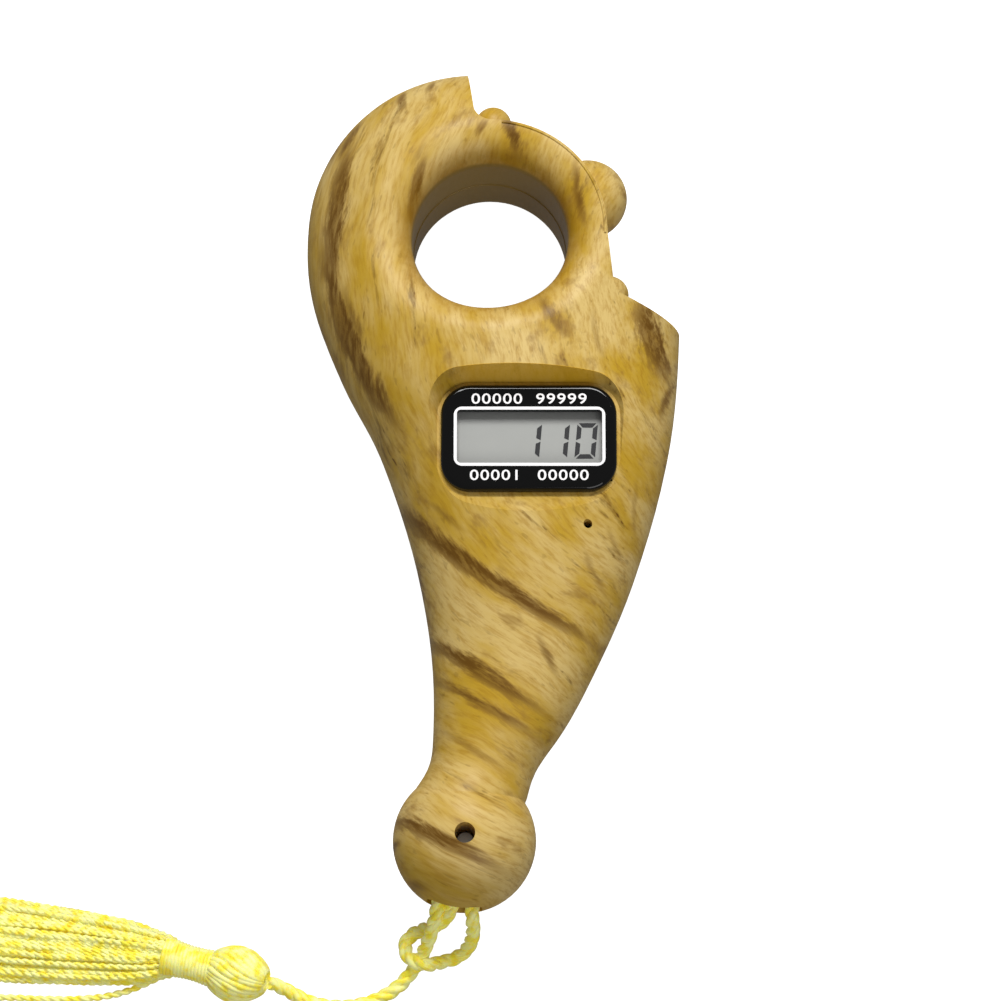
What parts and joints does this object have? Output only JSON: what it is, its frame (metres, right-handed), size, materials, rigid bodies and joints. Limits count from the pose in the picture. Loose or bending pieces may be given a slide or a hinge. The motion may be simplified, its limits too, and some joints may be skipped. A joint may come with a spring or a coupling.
{
  "type": "hand tally counter",
  "caption": "Finger-ring hand tally counter: wood-print drop-shaped casing with thumb buttons, liquid-crystal display, lanyard cord and tassel.",
  "frame": {"origin": "centre of the casing's footprint on its flat back face, without the cord and tassel", "axes": "+Y along the handle from the lanyard ball to the finger ring, +Z out of the display, +X towards the count button"},
  "size_m": [0.1115, 0.1285, 0.025],
  "materials": {
    "wood_print": "satin-gloss printed plastic, light yellowish wood grain with dark brown streaks",
    "wood_print_button": "satin-gloss printed plastic, faint wood grain",
    "seal_rubber": "soft black rubber",
    "cell_steel": "nickel-plated steel",
    "contact_metal": "tin-plated spring steel",
    "display_black": "high-gloss black plate with fine white printed lines",
    "window_clear": "clear flat window",
    "lcd_glass": "thin clear glass",
    "reflector_film": "grey-green matt reflector film",
    "contact_elastomer": "pinkish grey striped elastomer",
    "board_green": "green solder resist",
    "black_resin": "black epoxy",
    "sounder_brass": "bright brass",
    "ceramic_white": "silvered white ceramic",
    "flex_amber": "amber polyimide film",
    "switch_black": "black moulded plastic",
    "switch_grey": "grey moulded plastic",
    "screw_steel": "zinc-plated steel",
    "yellow_cord": "bright yellow twisted cord with a silky sheen",
    "yellow_thread": "bright yellow silky threads"
  },
  "bodies": {
    "casing": {"front_shell": "wood_print", "back_shell": "wood_print", "battery_cell": "cell_steel", "negative_contact": "contact_metal", "positive_contact": "contact_metal", "display_plate": "display_black", "display_window": "window_clear", "lcd_front_glass": "lcd_glass", "lcd_rear_glass": "lcd_glass", "lcd_reflector": "reflector_film", "zebra_strip": "contact_elastomer", "main_board": "board_green", "board_screws": "screw_steel", "chip_blob": "black_resin", "crystal": "cell_steel", "sounder_disc": "sounder_brass", "sounder_ceramic": "ceramic_white", "switch_flex": "flex_amber", "count_switch": "switch_black", "reset_switch": "switch_black", "mode_switch": "switch_black", "casing_screws": "screw_steel", "lanyard_pin": "screw_steel", "cord_tail": "yellow_cord", "cord_loop": "yellow_cord", "cord_end": "yellow_cord", "cord_knot": "yellow_cord", "tassel_head": "yellow_cord", "tassel_binding": "yellow_cord", "tassel_skirt": "yellow_thread"},
    "battery_door": {"battery_door": "wood_print", "door_gasket": "seal_rubber"},
    "count_button": {"count_button": "wood_print_button", "count_plunger": "switch_grey"},
    "reset_button": {"reset_button": "wood_print_button", "reset_plunger": "switch_grey"},
    "mode_button": {"mode_button": "wood_print_button", "mode_plunger": "switch_grey"}
  },
  "joints": [
    {"name": "count_press", "type": "slide", "parent": "casing", "child": "count_button", "axis": [-0.848, -0.5299, 0], "range_m": [0, 0.0005], "stiffness_N_per_m": 1500, "springref_m": -0.0006},
    {"name": "reset_press", "type": "slide", "parent": "casing", "child": "reset_button", "axis": [-0.0227, -0.9997, 0], "range_m": [0, 0.0005], "stiffness_N_per_m": 1500, "springref_m": -0.0006},
    {"name": "mode_press", "type": "slide", "parent": "casing", "child": "mode_button", "axis": [-0.95, 0.3123, 0], "range_m": [0, 0.0005], "stiffness_N_per_m": 1500, "springref_m": -0.0006},
    {"name": "battery_door_turn", "type": "hinge", "parent": "casing", "child": "battery_door", "pos_m": [0.0042, 0.0006, 0], "axis": [0, 0, 1], "range_deg": [0, 45]}
  ]
}
